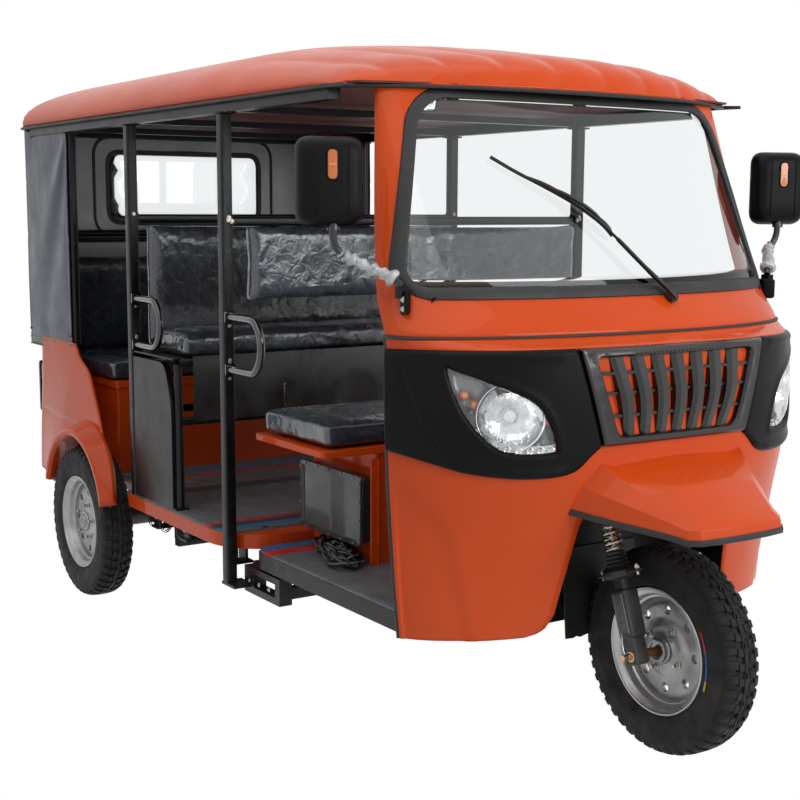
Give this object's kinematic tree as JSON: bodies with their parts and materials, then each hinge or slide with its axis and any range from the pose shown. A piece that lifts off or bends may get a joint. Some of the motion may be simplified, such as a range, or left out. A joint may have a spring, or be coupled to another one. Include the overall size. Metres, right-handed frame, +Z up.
{
  "type": "auto rickshaw",
  "caption": "Open-sided passenger three-wheeler with a steered front wheel, hard roof, curved windscreen, wrapped bench seats and flared rear quarters.",
  "frame": {"origin": "on the ground, under the middle of the overall length and width", "axes": "+Z up, the vehicle faces -Y, +X is its left side, so +Y is rearward along its length"},
  "size_m": [1.642, 3.1299, 1.8],
  "materials": {
    "orange_paint": "gloss",
    "black_steel": "satin",
    "black_plastic": "satin",
    "rubber_trim": "matte",
    "tyre_rubber": "matte",
    "rim_silver": "satin",
    "cast_black": "satin",
    "spring_chrome": "polished",
    "motor_grey": "matte",
    "box_grey": "satin",
    "seat_vinyl": "satin",
    "mat_vinyl": "matte",
    "wall_grey": "satin",
    "roof_lining": "matte",
    "window_glass": "clear",
    "lamp_lens": "clear",
    "tail_red": "gloss",
    "curtain_vinyl": "satin"
  },
  "bodies": {
    "body": {"chassis_frame": "black_steel", "rear_axle": "cast_black", "leaf_springs": "cast_black", "drive_motor": "motor_grey", "passenger_floor": "orange_paint", "driver_floor": "black_steel", "floor_mats": "mat_vinyl", "lower_front_shell": "orange_paint", "upper_front_shell": "orange_paint", "windscreen_frame": "orange_paint", "windscreen_glass": "window_glass", "windscreen_wiper": "black_steel", "headlamp_masks": "black_plastic", "grille": "black_plastic", "headlamps": "lamp_lens", "beak_fender": "orange_paint", "wheel_well": "black_steel", "dashboard": "black_plastic", "roof_panel": "orange_paint", "roof_gutter": "rubber_trim", "roof_frame": "black_steel", "roof_liner": "roof_lining", "posts": "black_steel", "cross_rails": "black_steel", "grab_handles": "black_steel", "mirrors": "black_plastic", "driver_seat_base": "orange_paint", "driver_cushions": "seat_vinyl", "control_box": "box_grey", "middle_bench_frame": "black_steel", "middle_cushions": "seat_vinyl", "rear_bench_base": "orange_paint", "rear_cushions": "seat_vinyl", "rear_quarters": "orange_paint", "rear_panel": "orange_paint", "rear_wall": "wall_grey", "rear_window": "window_glass", "side_curtains": "curtain_vinyl", "tail_lamps": "tail_red", "rear_bumper": "black_steel"},
    "steering": {"fork": "cast_black", "fork_springs": "spring_chrome", "handlebar": "black_steel"},
    "front_wheel": {"front_tyre": "tyre_rubber", "front_rim": "rim_silver"},
    "rear_wheel_left": {"rear_tyre_left": "tyre_rubber", "rear_rim_left": "rim_silver"},
    "rear_wheel_right": {"rear_tyre_right": "tyre_rubber", "rear_rim_right": "rim_silver"}
  },
  "joints": [
    {"name": "steering_head", "type": "hinge", "parent": "body", "child": "steering", "pos_m": [0, -1.1276, 0.6], "axis": [0, 0.342, 0.9397], "range_deg": [-38, 38]},
    {"name": "front_wheel_spin", "type": "hinge", "parent": "steering", "child": "front_wheel", "pos_m": [0, -1.306, 0.258], "axis": [1, 0, 0], "continuous": true},
    {"name": "rear_left_spin", "type": "hinge", "parent": "body", "child": "rear_wheel_left", "pos_m": [0.67, 0.824, 0.258], "axis": [1, 0, 0], "continuous": true},
    {"name": "rear_right_spin", "type": "hinge", "parent": "body", "child": "rear_wheel_right", "pos_m": [-0.67, 0.824, 0.258], "axis": [1, 0, 0], "continuous": true}
  ]
}
